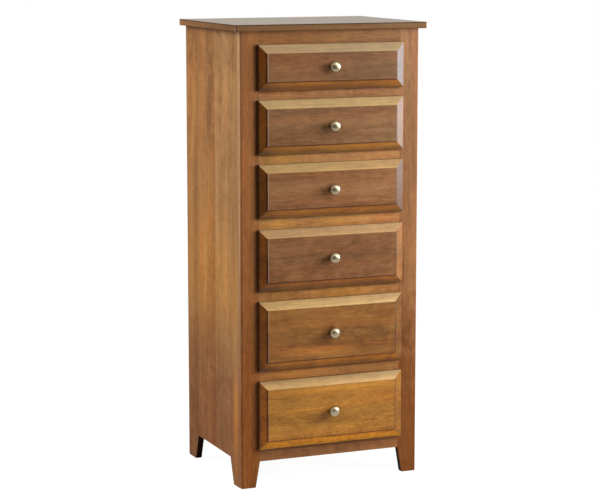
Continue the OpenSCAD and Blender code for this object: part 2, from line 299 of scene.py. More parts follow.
# Patches on the stiles, darker towards the bottom as painted shade, and on the right stile a painted sheen at
# the top: place along and across the grain, reach along and across, and tint
STILE_SHEEN_AND_SHADE = {
    "left_stile": [(0.10, -0.26, 0.50, 0.30, 0.90, 0.79, 0.66), (1.25, -0.26, 0.25, 0.30, 0.93, 0.97, 1.02)],
    "right_stile": [(0.10, 0.26, 0.50, 0.30, 0.66, 0.52, 0.36), (1.30, 0.26, 0.30, 0.30, 1.14, 1.22, 1.30)],
}
FACE_FIGURE = {
    1: [
        (0.13, 1.247, 0.13, 0.09, 0.80, 0.82, 0.82),
        (-0.12, 1.247, 0.11, 0.08, 1.16, 1.09, 1.0),
    ],
    5: [
        (-0.040, 0.404, 0.120, 0.014, 1.50, 1.45, 1.30),
        (-0.060, 0.480, 0.060, 0.030, 1.15, 1.15, 1.10),
        (0.165, 0.455, 0.035, 0.022, 0.80, 0.80, 0.85),
    ],
    6: [
        (0.060, 0.283, 0.200, 0.014, 1.38, 1.36, 1.36),
        (-0.130, 0.262, 0.050, 0.010, 0.85, 0.85, 0.85),
        (-0.050, 0.225, 0.120, 0.010, 1.12, 1.12, 1.12),
    ],
}
# Strength of the cloudy patches on single faces, and on the others
FACE_CLOUDS, PLAIN_CLOUDS = {4: 0.8, 5: 0.8, 6: 0.5}, 0.4
# Golden patches on the rails: place along the rail, reach along it, and tint
RAIL_FIGURE = {
    "rail_1": [(-0.16, 0.05, 1.06, 1.08, 0.92), (0.12, 0.06, 0.98, 0.94, 0.90)],
    "rail_2": [(-0.15, 0.07, 1.10, 1.16, 0.84), (0.16, 0.07, 1.06, 0.98, 0.88)],
    "rail_3": [
        (-0.17, 0.07, 1.08, 1.10, 0.80),
        (0.02, 0.08, 1.06, 1.08, 0.84),
        (0.17, 0.05, 1.02, 0.92, 0.86),
    ],
    "rail_4": [(-0.16, 0.05, 0.96, 1.00, 0.78), (0.04, 0.12, 1.10, 1.12, 0.78)],
    "rail_5": [(-0.13, 0.08, 1.06, 1.04, 0.84), (0.12, 0.09, 0.94, 0.94, 0.92)],
}
RAIL_REACH = 0.05
# Painted shadow round each knob, a dark patch about its axis that shows left of the cap: reach and tint
KNOB_SHADOW_PAINT = (0.0175, (0.27, 0.19, 0.13))
# Painted highlights on outer corners: tints of the board's edge and of its rounded corner
CORNER_HIGHLIGHTS = {"left_stile": ((1.50, 1.90, 2.60), (3.4, 4.8, 7.0))}
# The tint of the painted highlight on the top's rounded near corner, and that of the dark line beside such
# corners
TOP_CORNER_HIGHLIGHT, DARK_BESIDE_CORNER = (3.6, 5.2, 8.0), (0.46, 0.44, 0.46)
# Heights up to which the lowest face is curly, and the cuts between the feet get painted shade
CURL_TOP, FOOT_TOP = 0.262, 0.079
# Shine of boards that have hardly any of their own, and shine and roughness of the wood inside
FLAT_SHINE, INSIDE_SHINE, INSIDE_ROUGHNESS = 0.01, 0.22, 0.45


# Wood

# Noises that follow the grain: how fine along it and across it, detail, roughness, distortion and offset
GRAINS = {
    "broad": (1.4, 16.0, 2.0, 0.5, 0.4, 0.0),
    "streak": (4.5, 95.0, 3.0, 0.6, 0.3, 3.1),
    "dash": (38.0, 185.0, 3.0, 0.6, 0.6, 1.3),
    "fibre": (26.0, 420.0, 3.0, 0.65, 0.2, 5.7),
    "bar": (62.0, 16.0, 2.0, 0.5, 0.4, 19.0),
    "warmth": (1.1, 24.0, 2.0, 0.5, 0.5, 11.0),
    "pith drift": (1.6, 5.0, 2.0, 0.5, 0.0, 0.0),
    "ring wobble": (4.0, 40.0, 2.0, 0.5, 0.0, 0.0),
    "fleck places": (6.0, 50.0, 1.0, 0.5, 0.0, 2.0),
    "wear": (12.0, 60.0, 2.0, 0.6, 0.0, 8.0),
    "bevel lines": (5.0, 140.0, 3.0, 0.6, 0.2, 17.0),
    "bevel streaks": (14.0, 70.0, 3.0, 0.6, 0.6, 27.0),
    "bevel bars": (60.0, 14.0, 2.0, 0.5, 0.3, 29.0),
    "ragged stain": (7.0, 8.0, 2.0, 0.6, 0.0, 21.0),
}
# How much finer a noise is through the board than across it
DEPTH_FINENESS = 2.2
# How fine other noises are along, across and through the board
CLOUD_SCALE, CURL_SCALE, FLECK_SCALE = (19.0, 27.0, 27.0), (52.0, 105.0, 50.0), (55.0, 520.0, 520.0)
# Strengths of the figure's layers that are the same for every board that has them
BROAD, STREAK, FIBRE, CURL = 0.8, 0.5, 0.4, 0.46
# The pith: how far it wanders, its slant, the width after which its rings turn back, and its depth
PITH_DRIFT, PITH_SLANT, PITH_FOLD, PITH_DEPTH = 0.07, (0.03, 0.06), 0.07, (0.26, 0.29)
# Growth rings: how many a metre, how far they wobble, and their shades from start to end
RINGS_A_METRE, RING_WOBBLE = 240.0, 1.2
RING_SHADES = [(0.0, 0.6), (0.65, 0.55), (0.9, 0.0), (1.0, 0.6)]
# The boards of a panel are numbered in these steps, and a board numbered 1 would lie this far off in the log:
# along, across and through it
STRIP_STEP, STRIP_SHIFTS = 0.1, (37.0, 3.7, 0.31)
# Painted shade with stain in the corners, and wear on the edges: how far each reaches, and the tint of the
# corners
CORNER_REACH, EDGE_REACH = 5.0 * MM, 1.5 * MM
GATHERED_SHADE_AND_STAIN = (0.38, 0.34, 0.30)
AO_SAMPLES = 6
FIBRE_BUMP, FIBRE_DEPTH = 0.12, 0.3 * MM


class Board(Material):
    """The material of a board, with its grain along one axis and its width across another.

    length and width are places on the board, and u, v and w the places in the log that it was cut from.
    """

    def __init__(self, node, tone, along, across, seed, strips):
        super().__init__(node + "_wood")
        self.node, self.tone, self.across = node, tone, across
        self.random = random.Random(seed)
        self.coordinate = self.add("TexCoord").outputs
        self.place = self.add("SeparateXYZ", self.coordinate["Object"]).outputs
        self.length, self.width = self.place[along], self.place[across]
        depth = self.place[({"X", "Y", "Z"} - {along, across}).pop()]
        log = [self.plus(self.length, self.random.uniform(-4.0, 4.0)), self.width, depth]
        if strips:
            position = self.spread(self.width, -PANEL_SPAN / 2, PANEL_SPAN / 2)
            starts = [(start + PANEL_SPAN / 2) / PANEL_SPAN for start, _ in strips]
            shades = [(start, grey(k * STRIP_STEP)) for k, start in enumerate(starts)]
            strip = self.add("SeparateColor", self.ramp(position, shades, "CONSTANT")).outputs[0]
            log = [self.plus(place, self.times(strip, shift)) for place, shift in zip(log, STRIP_SHIFTS)]

            def by_strip(tint):
                """The colour of the board that a point lies on, tinted."""
                stops = [(start, scaled(colour, tint)) for start, (_, colour) in zip(starts, strips)]
                return self.ramp(position, stops, "CONSTANT")

            self.dark, self.light = by_strip(DARKEST), by_strip(LIGHTEST)
        else:
            self.dark, self.light = scaled(tone, DARKEST), scaled(tone, LIGHTEST)
        self.u, self.v, self.w = log

    @cached_property
    def normal(self):
        """The direction that the surface faces, by axis. Its node is only made for boards that use it."""
        return self.add("SeparateXYZ", self.coordinate["Normal"]).outputs

    def grain(self, name):
        """One of the noises that are stretched along the grain."""
        fine_along, fine, detail, roughness, distortion, offset = GRAINS[name]
        lengthwise = self.times(self.plus(self.u, offset), fine_along)
        place = self.combine(lengthwise, self.times(self.v, fine), self.times(self.w, fine * DEPTH_FINENESS))
        return self.noise(place, detail, roughness, distortion)

    def in_log(self, scale):
        """The place in the log, with each direction times its scale."""
        return self.vector("MULTIPLY", self.combine(self.u, self.v, self.w), scale)


def growth_rings(board):
    """Growth rings round a pith that runs aslant below the board, so that they show as long arches."""
    drift = board.times(board.minus(board.grain("pith drift"), 0.5), PITH_DRIFT)
    slant = board.random.choice((-1, 1)) * board.random.uniform(*PITH_SLANT)
    folded = board.math("PINGPONG", board.v, PITH_FOLD)
    pith_v = board.plus(folded, board.random.uniform(-PITH_FOLD, 0.0), drift)
    aslant = board.times(board.math("SINE", board.u), slant)
    pith_w = board.plus(board.w, aslant, board.random.uniform(*PITH_DEPTH))
    radius = board.times(board.hypotenuse(pith_v, pith_w), RINGS_A_METRE)
    wobble = board.times(board.grain("ring wobble"), RING_WOBBLE)
    turns = board.math("FRACT", board.plus(radius, wobble))
    return board.ramp(turns, [(place, grey(shade)) for place, shade in RING_SHADES])


def curly(board, top):
    """Ripples across the grain, as a layer round 0.5, that fade out at the height top."""
    ripple = board.noise(board.in_log(CURL_SCALE), 2.0, 0.5, 1.8)
    crest = board.spread(board.apart(ripple, 0.5), 0.0, 0.09, -0.5, 0.12)
    faded = board.spread(board.width, top - 20.0 * MM, top + 15.0 * MM, 1.0, 0.0)
    return board.plus(board.times(crest, faded), 0.5)


def patches(board, colour, figure, cloud):
    """Single lighter and darker patches with cloudy outlines."""
    sway = board.times(board.minus(cloud, 0.5), 1.6)
    for along_place, across_place, long_reach, wide_reach, *tint in figure:
        far_long = board.math("DIVIDE", board.minus(board.length, along_place), long_reach)
        far_wide = board.math("DIVIDE", board.minus(board.width, across_place), wide_reach)
        far = board.plus(board.hypotenuse(far_long, far_wide), sway)
        colour = board.tint(board.spread(far, 0.3, 1.2, 1.0, 0.0), colour, tint)
    return colour


def flecks(board):
    """1 on short flecks along the grain, which lie in some streaks and not in others."""
    node = board.add("TexVoronoi", feature="F1")
    board.put(node.inputs["Vector"], board.in_log(FLECK_SCALE))
    node.inputs["Scale"].default_value = 1.0
    shape = board.spread(node.outputs["Distance"], 0.10, 0.24, 1.0, 0.0)
    return board.times(shape, board.spread(board.grain("fleck places"), 0.5, 0.68))


def openness(board, reach, inside=False):
    """Ambient occlusion of the board by itself: 1 where nothing is near, less in corners or inside edges."""
    node = board.add("AmbientOcclusion", samples=AO_SAMPLES, only_local=True, inside=inside)
    node.inputs["Distance"].default_value = reach
    return node.outputs["AO"]


def wood(node, tone, along, across, seed, strips=None, contrast=1.5, rings=0.16, clouds=0.4, dashes=0.6,
         bars=0.0, curl=None, figure=(), stain=None, specular=0.26, rough=0.36):
    """Lacquered hardwood for a node, with its grain along one axis and its width across another.

    tone is its middle colour, and seed picks its place in the log. strips are the boards that a wide panel is
    glued up from, with colours of their own. contrast is the strength of the whole figure, and rings, clouds,
    dashes and bars are those of the growth rings, of cloudy patches, of short dashes along the grain and of
    bars across it. curl is the height up to which the wood is curly. figure lists lighter and darker patches,
    of the wood's figure and of painted light and shade: place along and across, reach along and across, and
    tint. stain is a function that takes the board and its colour, and gives the colour with painted light and
    shade and with stain on single parts of the piece. specular and rough are the shader's shine and
    roughness.
    """
    board = Board(node, tone, along, across, seed, strips)
    ring = growth_rings(board)
    streak, fibre = board.grain("streak"), board.grain("fibre")
    cloud = board.noise(board.in_log(CLOUD_SCALE), 3.0, 0.55, 0.8)
    layers = [
        (board.grain("broad"), BROAD), (streak, STREAK), (board.grain("dash"), dashes), (ring, rings),
        (fibre, FIBRE), (cloud, clouds),
    ]
    if bars:
        layers.append((board.grain("bar"), bars))
    if curl:
        layers.append((curly(board, curl), CURL))
    value = 0.5
    for layer, weight in layers:
        value = board.plus(value, board.times(board.minus(layer, 0.5), weight * contrast))

    colour = board.mix(value, board.dark, board.light)
    warmth = board.spread(board.grain("warmth"), 0.36, 0.64)
    colour = board.mix(warmth, board.tinted(colour, COOLEST), board.tinted(colour, WARMEST))
    if figure:
        colour = patches(board, colour, figure, cloud)
    mark = flecks(board)
    colour = board.mix(board.times(mark, 0.5), colour, board.dark)
    if stain:
        colour = stain(board, colour)

    # Painted shade with gathered stain darkens the corners that occlusion finds, and handling wears the edges
    # lighter
    corner = board.spread(openness(board, CORNER_REACH), 0.5, 0.95, 0.8, 0.0)
    colour = board.mix(corner, colour, board.tinted(board.dark, GATHERED_SHADE_AND_STAIN))
    edge = board.spread(openness(board, EDGE_REACH, inside=True), 0.45, 0.8, 1.0, 0.0)
    colour = board.mix(board.times(edge, board.grain("wear"), 0.5), colour, board.light)

    board.bump(board.minus(board.times(fibre, 0.7), mark), FIBRE_BUMP, FIBRE_DEPTH)
    roughness = board.plus(rough - ROUGH_RANGE / 2, board.times(streak, ROUGH_RANGE))
    return board.surface(colour, roughness, **{"Specular IOR Level": specular})


# Painted light and shade, stain and lacquer on single parts of a piece

# Dark colours: painted shade on the cuts between the feet, lines along the top's arris, and painted shade
# with the end grain's darker stain on the faces' thin edges
FOOT_CUT_SHADE = (0.006, 0.004, 0.003, 1.0)
ARRIS_DARK = (0.012, 0.007, 0.003, 1.0)
THIN_EDGE_DARK = (0.006, 0.003, 0.001, 1.0)
# The painted highlight line at the left of a face's field
FIELD_RIM_HIGHLIGHT = (170, 158, 150)
# Tints of the bevels: painted shade with stain along the step round the field, a painted highlight where
# the step looks up, painted shade with stain on the field's rim, painted shade at the left end of the bottom
# bevel, and the dark bands along the bottom and the left, the left one painted shade
STEP_SHADE_AND_STAIN, STEP_HIGHLIGHT, RIM_SHADE_AND_STAIN = (0.30, 0.26, 0.22), (1.22, 1.25, 1.35), (0.35, 0.33, 0.30)
LEFT_END_SHADE, BAND = (0.46, 0.40, 0.36), (0.35, 0.36, 0.50)
# Tint of the painted shadow on a rail close under the face above it
SHADED = (0.50, 0.40, 0.42)
# Width of a face's bevels, and the parts of a normal between which a slope comes to count as one
FACE_BEVEL = 25.5 * MM
BEVEL_SLOPE = (0.12, 0.25)


def shade_below(board, colour, shaded):
    """Paints the shadow on the upper part of a rail, where the face of the drawer above it overhangs."""
    low_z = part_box(shaded)[0].z
    dusk = board.spread(board.width, low_z - 9.0 * MM, low_z + 1.0 * MM, 0.0, 0.55)
    return board.tint(dusk, colour, SHADED)


def foot_cuts(board, low, high):
    """1 on the cut faces between the feet of a stile or a side panel."""
    axis = AXES[board.across]
    middle = (low[axis] + high[axis]) / 2
    facing = board.normal[axis]
    if board.across == "X":
        inner = board.spread(board.times(facing, -math.copysign(1.0, middle)), 0.5, 0.8)
    else:
        half = (high[axis] - low[axis]) / 2 - 20.0 * MM
        between = board.spread(board.apart(board.place[axis], middle), half - 5.0 * MM, half, 1.0, 0.0)
        inner = board.times(between, board.spread(board.math("ABSOLUTE", facing), 0.5, 0.8))
    return board.times(inner, board.spread(board.place["Z"], FOOT_TOP, FOOT_TOP + 10.0 * MM, 1.0, 0.0))


def paint_corner_highlight(board, colour, low, edge_tint, round_tint):
    """Painted highlight on a stile's left side and rounded corner, most at its top, and a dark line beside
    them.
    """
    leftward = board.times(board.normal["X"], -1.0)
    forward = board.spread(board.times(board.normal["Y"], -1.0), 0.05, 0.20)
    height = board.spread(board.place["Z"], 0.2, 1.1, 0.25, 1.0)
    colour = board.tint(board.times(board.spread(leftward, 0.90, 0.98), height), colour, edge_tint)
    rounded = board.times(board.spread(leftward, 0.15, 0.40), forward)
    colour = board.tint(board.times(rounded, height), colour, round_tint)
    near = board.spread(board.apart(board.place["X"], low.x), 4.0 * MM, 9.0 * MM, 0.8, 0.0)
    beside = board.times(forward, board.spread(leftward, 0.04, 0.14, 1.0, 0.0), near)
    return board.tint(beside, colour, DARK_BESIDE_CORNER)


def feet_light_and_coat(board, colour, coat=0.0):
    """Painted shade on the cuts between the feet of a board, a painted highlight on a stile corner that has
    one, and the board's lacquer elsewhere.
    """
    node = board.node
    low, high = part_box(node)
    # A painted highlight on the stile's outer corner, where it has one
    if node in CORNER_HIGHLIGHTS:
        colour = paint_corner_highlight(board, colour, low, *CORNER_HIGHLIGHTS[node])
    cut = foot_cuts(board, low, high)
    if coat:
        dulled = board.spread(board.place["Z"], 0.25, 0.75, 0.35, 1.0)
        board.coat(board.times(dulled, board.spread(cut, 0.0, 0.5, coat, 0.0)), STILE_COAT_ROUGHNESS)
    # Painted shade on the cuts between the feet
    return board.mix(board.times(cut, 0.92), colour, FOOT_CUT_SHADE)


def top_edges_and_highlight(board, colour):
    """The colours of the top's edges in painted light and shade, dark lines along its arris, a painted
    highlight on its near corner, and lacquer gloss on its upper side.
    """
    node = board.node
    low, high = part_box(node)
    upwards, height = board.normal["Z"], board.place["Z"]
    # Edge colours by the way each faces: painted light and shade, with the end grain's own colour at the ends
    for axis, edge in TOP_EDGES.items():
        facing = board.math("ABSOLUTE", board.normal[axis])
        colour = board.tint(board.spread(facing, 0.2, 0.5), colour, ratio(edge, board.tone))
    arris = board.times(board.spread(upwards, 0.25, 0.45), board.spread(upwards, 0.90, 0.98, 1.0, 0.0))
    near_top = board.spread(height, high.z - 4.0 * MM, high.z - 2.0 * MM)
    upper = board.times(near_top, board.spread(upwards, 0.8, 0.9, 1.0, 0.0))
    lower = board.spread(height, low.z + 1.0 * MM, low.z + 3.0 * MM, 0.6, 0.0)
    dark = board.largest(arris, upper, lower)
    colour = board.mix(board.times(dark, 0.65), colour, ARRIS_DARK)
    # A painted highlight on the rounded near corner, and a dark line on the front beside it
    leftward, forward = board.times(board.normal["X"], -1.0), board.times(board.normal["Y"], -1.0)
    pale = board.times(board.spread(leftward, 0.35, 0.60), board.spread(forward, 0.05, 0.20))
    colour = board.tint(pale, colour, TOP_CORNER_HIGHLIGHT)
    near = board.spread(board.place["X"], low.x + 4.0 * MM, low.x + 8.0 * MM, 0.8, 0.0)
    colour = board.tint(board.times(board.spread(forward, 0.80, 0.95), near), colour, DARK_BESIDE_CORNER)
    board.coat(board.spread(upwards, 0.97, 0.998, 0.0, TOP_COAT), TOP_COAT_ROUGHNESS)
    return colour


def bevel_light_tints(board, colour, stain, high):
    """The colours of a face's four bevels, and its dark thin edges: painted light and shade by the way each
    faces, with stain that the bevels take more.
    """
    lighten = stain["lighten"]
    inwards = board.minus(high.z, board.place["Z"])
    # The top bevel lightens inwards: a painted highlight
    lines = board.times(
        board.spread(board.grain("bevel lines"), 0.3, 0.7, 0.84, 1.16),
        board.spread(board.grain("bevel streaks"), 0.32, 0.68, 0.80, 1.18),
        board.spread(board.grain("bevel bars"), 0.3, 0.7, 0.93, 1.07),
        board.spread(inwards, 0.0, FACE_BEVEL, 1.0 - lighten, 1.0 + lighten),
    )
    smooth = board.mix(1.0, linear(*stain["top"]), board.combine(lines, lines, lines), "MULTIPLY")
    tints = [
        ("Z", 1.0, ratio(stain["top"], board.tone)),
        ("X", 1.0, stain["right"]),
        ("Z", -1.0, stain["bottom"]),
        ("X", -1.0, stain["left"]),
    ]
    # Each bevel gets painted light and shade by the way it faces; its thin edge gets painted shade with the
    # end grain's darker stain
    for axis, side, tint in tints:
        facing = board.times(board.normal[axis], side)
        tinted = board.tinted(colour, tint)
        if (axis, side) == ("Z", 1.0):
            tinted = board.mix(0.6, tinted, smooth)
        colour = board.mix(board.spread(facing, *BEVEL_SLOPE), colour, tinted)
        colour = board.mix(board.spread(facing, 0.6, 0.9, 0.0, 0.75), colour, THIN_EDGE_DARK)
    return colour


def bevel_light_and_stain(board, colour):
    """The colours of a face's bevels, painted light and shade with stain along its step and rim, and dark
    bands along its bottom and left edges.
    """
    node = board.node
    low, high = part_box(node)
    stain = BEVELS[int(node.split("_")[1])]
    band_height, band_dark = stain["band"]
    colour = bevel_light_tints(board, colour, stain, high)

    def outside(axis):
        """How far a point lies outside the field, along one axis."""
        middle, half = (low[axis] + high[axis]) / 2, (high[axis] - low[axis]) / 2 - FACE_BEVEL
        return board.minus(board.apart(board.place[axis], middle), half)

    # The step round the field: painted shade with stain along it, and a painted highlight where it looks up
    ragged = board.minus(board.grain("ragged stain"), 0.5)
    step = board.largest(outside(AXES["X"]), outside(AXES["Z"]))
    beyond = board.spread(step, -0.6 * MM, 0.0, 0.0, 1.0)
    near = board.spread(board.plus(step, board.times(ragged, 4.0 * MM)), 1.5 * MM, 5.0 * MM, 1.0, 0.0)
    upward = board.spread(board.normal["Z"], *BEVEL_SLOPE)
    stepped = board.mix(upward, board.tinted(colour, STEP_SHADE_AND_STAIN), board.tinted(colour, STEP_HIGHLIGHT))
    colour = board.mix(board.times(beyond, near), colour, stepped)

    # The field's own rim, darkened all round by painted shade with stain, and with a painted highlight line
    # at the left
    rise, fall = board.spread(step, -2.2 * MM, -0.8 * MM), board.spread(step, -0.6 * MM, 0.0, 1.0, 0.0)
    colour = board.tint(board.times(rise, fall, 0.3), colour, RIM_SHADE_AND_STAIN)
    inward = board.minus(board.place["X"], low.x + FACE_BEVEL)
    in_field = board.spread(step, -1.5 * MM, -0.5 * MM, 1.0, 0.0)
    left_rim = board.times(board.spread(inward, 2.2 * MM, 3.6 * MM, 1.0, 0.0), in_field)
    colour = board.mix(board.times(left_rim, stain["rim"]), colour, linear(*FIELD_RIM_HIGHLIGHT))

    # Painted shade at the left end of the bottom bevel and along the left edge, and a dark band along the
    # bottom
    aslant = board.plus(board.place["X"], board.times(ragged, 60.0 * MM))
    leftmost = board.spread(aslant, low.x + 12.0 * MM, low.x + 75.0 * MM, max(0.4, band_dark), 0.0)
    downward = board.spread(board.times(board.normal["Z"], -1.0), *BEVEL_SLOPE)
    colour = board.tint(board.times(leftmost, downward), colour, LEFT_END_SHADE)
    up = board.plus(board.place["Z"], board.times(ragged, 26.0 * MM))
    bottom_z = low.z + band_height * MM
    bottom_band = board.spread(up, bottom_z - 6.0 * MM, bottom_z + 6.0 * MM, band_dark, 0.0)
    left_shade_band = board.spread(board.place["X"], low.x + 3.5 * MM, low.x + 6.5 * MM, 0.92, 0.0)
    return board.tint(board.largest(bottom_band, left_shade_band), colour, BAND)


def dress(node, material):
    """Gives a CAD node one material in all its slots."""
    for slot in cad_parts[node].material_slots:
        slot.link = "OBJECT"
        slot.material = material


def outer_wood(node, along, across, seed, **look):
    dress(node, wood(node, TONES.get(node), along, across, seed, **look))


def inner_wood(node, tone, along, across, seed):
    dress(node, wood(node, tone, along, across, seed, specular=INSIDE_SHINE, rough=INSIDE_ROUGHNESS))


def dress_case():
    """The top, the side panels and the face frame, each with boards of its own."""
    outer_wood("top", "X", "Y", 3, specular=FLAT_SHINE, clouds=0.3, contrast=1.0, stain=top_edges_and_highlight)
    for seed, node in enumerate(("left_side", "right_side"), 8):
        contrast, figure = SIDE_LOOKS[node]
        outer_wood(node, "Z", "Y", seed, strips=SIDE_STRIPS, clouds=0.55, rings=0.1, dashes=0.3, bars=0.25,
                   specular=FLAT_SHINE, contrast=contrast, figure=figure, stain=feet_light_and_coat)
    for seed, node in enumerate(("left_stile", "right_stile"), 21):
        # The stiles' patches hold painted shade and painted sheen
        outer_wood(node, "Z", "X", seed, clouds=0.25, figure=STILE_SHEEN_AND_SHADE[node], specular=FLAT_SHINE,
                   stain=partial(feet_light_and_coat, coat=STILE_COAT))
    for index, node in enumerate(RAILS):
        low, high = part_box(node)
        middle = (low.z + high.z) / 2
        figure = [(x, middle, reach, RAIL_REACH, *tint) for x, reach, *tint in RAIL_FIGURE.get(node, ())]
        shade = partial(shade_below, shaded=f"drawer_{index}_face") if index in DRAWERS else None
        outer_wood(node, "X", "Z", 31 + index, bars=0.35, figure=figure, stain=shade)


def dress_drawers():
    """The faces and the boxes of the drawers."""
    reach, tint = KNOB_SHADOW_PAINT
    for i in DRAWERS:
        low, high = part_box(f"drawer_{i}_knob")
        # A painted shadow round the knob's axis, listed among the face's patches
        knob_shadow = ((low.x + high.x) / 2, (low.z + high.z) / 2, reach, reach, *tint)
        outer_wood(f"drawer_{i}_face", "X", "Z", 50 + i, clouds=FACE_CLOUDS.get(i, PLAIN_CLOUDS),
                   curl=CURL_TOP if i == 6 else None, figure=FACE_FIGURE.get(i, []) + [knob_shadow],
                   stain=bevel_light_and_stain)
        inner_wood(f"drawer_{i}_sides", MAPLE, "Y", "Z", 60 + i)
        inner_wood(f"drawer_{i}_ends", MAPLE, "X", "Z", 70 + i)
        inner_wood(f"drawer_{i}_bottom", PLY, "X", "Y", 80 + i)


def dress_inside():
    """The plain wood inside and behind the case."""
    inner_wood("back_panel", PLY, "Z", "X", 90)
    inner_wood("back_rails", MAPLE, "X", "Z", 91)
    inner_wood("slide_cleats", MAPLE, "Y", "Z", 92)
    inner_wood("corner_blocks", MAPLE, "X", "Y", 93)


# Metal

SCRATCH_SCALE, TARNISH_SCALE = (2600.0, 90.0, 2600.0), (120.0, 120.0, 120.0)
SCRATCH_DEPTH = 0.1 * MM
TARNISH = (0.62, 0.58, 0.50)


def metal(name, colour, roughness, scratch, grime):
    """Plated metal with fine scratches and faint cloudy tarnish. scratch and grime are their strengths."""
    g = Material(name)
    place = g.add("TexCoord").outputs["Object"]
    fine = g.noise(g.vector("MULTIPLY", place, SCRATCH_SCALE), 2.0)
    cloud = g.noise(g.vector("MULTIPLY", place, TARNISH_SCALE), 3.0, 0.6)
    shade = g.tint(g.times(cloud, grime), colour, TARNISH)
    g.bump(fine, scratch, SCRATCH_DEPTH)
    rough = g.plus(roughness - ROUGH_RANGE / 2, g.times(cloud, ROUGH_RANGE))
    return g.surface(shade, rough, Metallic=1.0)


def dress_metal():
    zinc = metal("zinc_steel", linear(196, 199, 202), 0.32, 0.25, 0.5)
    dress("cabinet_slides", zinc)
    for i in DRAWERS:
        dress(f"drawer_{i}_runners", zinc)
        dress(f"middle_slides_{i}", zinc)
    dress("top_screws", metal("screw_steel", linear(200, 184, 140), 0.3, 0.2, 0.6))


# Eased edges

WELD = 0.01 * MM
SHARP_EDGE = math.radians(14)
LONG_EDGE = 4.0 * MM


def easing_group():
    """A node group that welds a CAD mesh and marks its long, sharp edges for the bevel that follows."""
    tree = bpy.data.node_groups.new("easing", "GeometryNodeTree")
    tree.interface.new_socket("Geometry", in_out="INPUT", socket_type="NodeSocketGeometry")
    tree.interface.new_socket("Geometry", in_out="OUTPUT", socket_type="NodeSocketGeometry")

    def add(kind, **settings):
        node = tree.nodes.new(kind)
        for key, value in settings.items():
            setattr(node, key, value)
        return node

    source, result = add("NodeGroupInput"), add("NodeGroupOutput")
    weld = add("GeometryNodeMergeByDistance")
    weld.inputs["Distance"].default_value = WELD
    angle = add("GeometryNodeInputMeshEdgeAngle")
    sharp = add("ShaderNodeMath", operation="GREATER_THAN")
    sharp.inputs[1].default_value = SHARP_EDGE
    ends = add("GeometryNodeInputMeshEdgeVertices")
    length = add("ShaderNodeVectorMath", operation="DISTANCE")
    long = add("ShaderNodeMath", operation="GREATER_THAN")
    long.inputs[1].default_value = LONG_EDGE
    both = add("ShaderNodeMath", operation="MULTIPLY")
    store = add("GeometryNodeStoreNamedAttribute", data_type="FLOAT", domain="EDGE")
    store.inputs["Name"].default_value = "bevel_weight_edge"
    smooth = add("GeometryNodeSetShadeSmooth", domain="FACE")
    crease = add("GeometryNodeSetShadeSmooth", domain="EDGE")
    crease.inputs["Shade Smooth"].default_value = False
    link = tree.links.new
    link(source.outputs[0], weld.inputs["Geometry"])
    link(angle.outputs["Unsigned Angle"], sharp.inputs[0])
    link(ends.outputs["Position 1"], length.inputs[0])
    link(ends.outputs["Position 2"], length.inputs[1])
    link(length.outputs["Value"], long.inputs[0])
    link(sharp.outputs[0], both.inputs[0])
    link(long.outputs[0], both.inputs[1])
    link(weld.outputs["Geometry"], store.inputs["Geometry"])
    link(both.outputs[0], store.inputs["Value"])
    link(store.outputs["Geometry"], smooth.inputs["Geometry"])
    link(smooth.outputs["Geometry"], crease.inputs["Geometry"])
    link(sharp.outputs[0], crease.inputs["Selection"])
    link(crease.outputs["Geometry"], result.inputs[0])
    return tree


def ease(node, width, group, segments=3):
    """Rounds the long edges of a CAD node by a modifier, as sanding does."""
    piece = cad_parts[node]
    piece.modifiers.new("marks", "NODES").node_group = group
    bevel = piece.modifiers.new("ease", "BEVEL")
    bevel.width = width
    bevel.segments = segments
    bevel.limit_method = "WEIGHT"
    bevel.use_clamp_overlap = False
    bevel.harden_normals = False
    piece.modifiers.new("normals", "WEIGHTED_NORMAL").keep_sharp = True


def ease_edges():
    group = easing_group()
    ease("top", 1.6 * MM, group)
    for node in ("left_side", "right_side", "left_stile", "right_stile"):
        ease(node, 0.5 * MM, group)
    for node in RAILS:
        ease(node, 0.35 * MM, group)
    for i in DRAWERS:
        ease(f"drawer_{i}_face", 0.6 * MM, group)
        ease(f"drawer_{i}_sides", 0.4 * MM, group, 2)
        ease(f"drawer_{i}_ends", 0.4 * MM, group, 2)
    for node in ("back_rails", "slide_cleats", "corner_blocks"):
        ease(node, 0.6 * MM, group, 2)


# Knobs, with sizes in millimetres

KNOB_R, KNOB_OUT, CAP_H = 15.75, 28.0, 12.0
# The cap's rim lies this share of the cap's height below its top
RIM_DROP = 0.76
FOOT_R, FOOT_H, FOOT_ROUND, NECK_R = 7.5, 2.2, 0.7, 5.25
BOLT_R, BOLT_HEAD_R, BOLT_HEAD_H, BOLT_BITE, BOLT_GAP = 2.0, 4.25, 2.4, 9.0, 0.25
BOX_END, FACE_T = 12.7, 19.5
TURN_SEGMENTS = 56
KNOB_METAL = (170, 156, 128)


def arc(cx, cy, rx, ry, start, stop, steps):
    """Points on an ellipse, with the angles in degrees."""
    angles = [math.radians(start + (stop - start) * k / steps) for k in range(steps + 1)]
    return [(cx + rx * math.cos(a), cy + ry * math.sin(a)) for a in angles]


